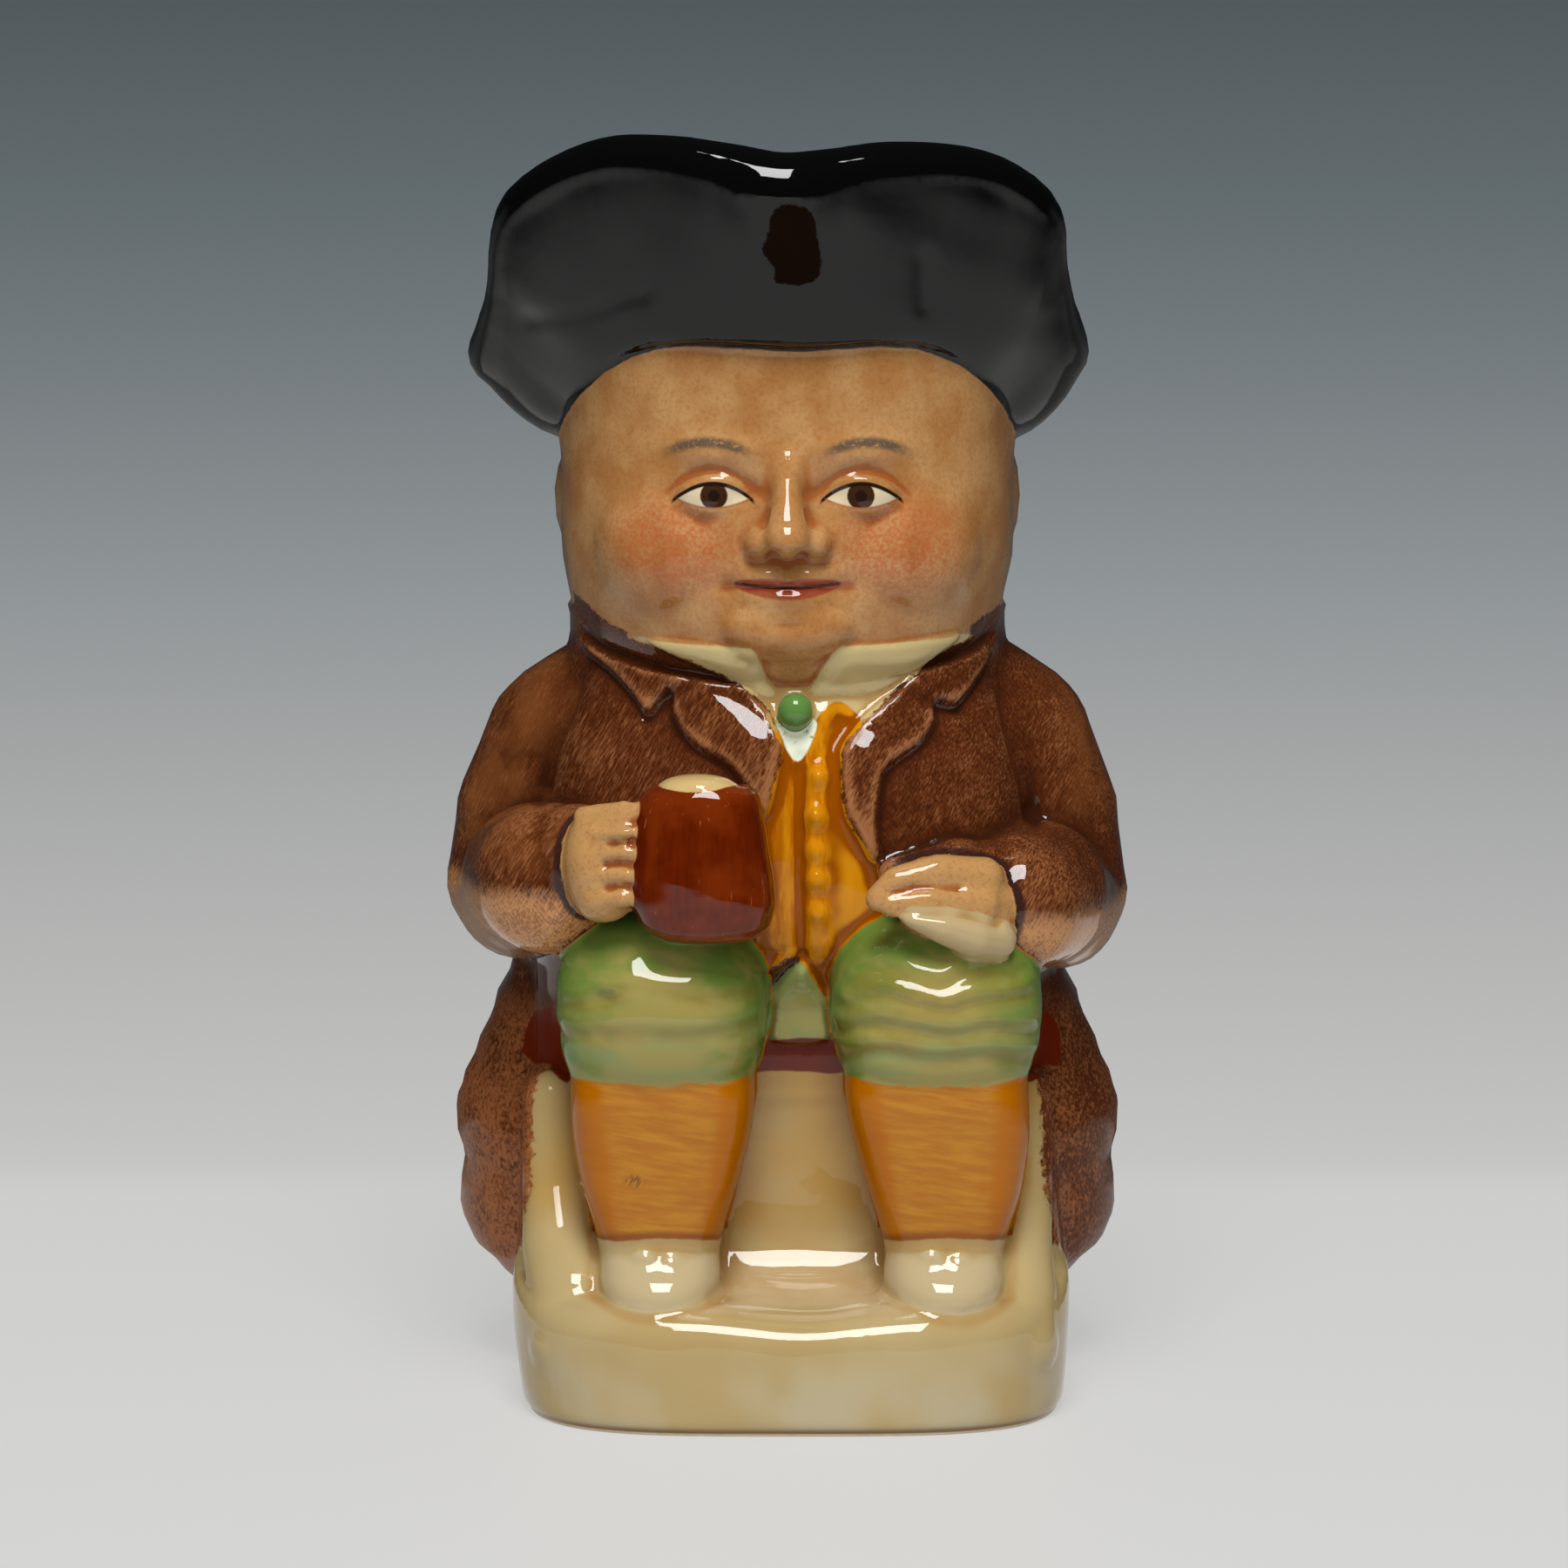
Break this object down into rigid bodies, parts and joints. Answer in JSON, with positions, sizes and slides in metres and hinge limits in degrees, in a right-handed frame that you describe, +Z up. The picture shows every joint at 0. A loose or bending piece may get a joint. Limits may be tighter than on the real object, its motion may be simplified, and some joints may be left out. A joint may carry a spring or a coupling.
{
  "type": "toby jug",
  "caption": "Glazed earthenware jug shaped as a seated figure with a mug; its upturned hat is the mouth and pouring lip, with a loop handle at the back.",
  "frame": {"origin": "centre of the plinth's underside, on the surface that the jug stands on", "axes": "+Z up through the figure; the figure faces -Y, and the handle is at +Y; +X is the figure's left hand"},
  "size_m": [0.0818, 0.0929, 0.1501],
  "materials": {
    "glazed_earthenware": "painted under a clear, glossy, slightly honey-coloured glaze: black hat, flesh face and hands, mottled brown coat, amber waistcoat and stockings, green breeches, cream bench and plinth"
  },
  "bodies": {
    "root": {"toby_jug": "glazed_earthenware"}
  },
  "joints": []
}
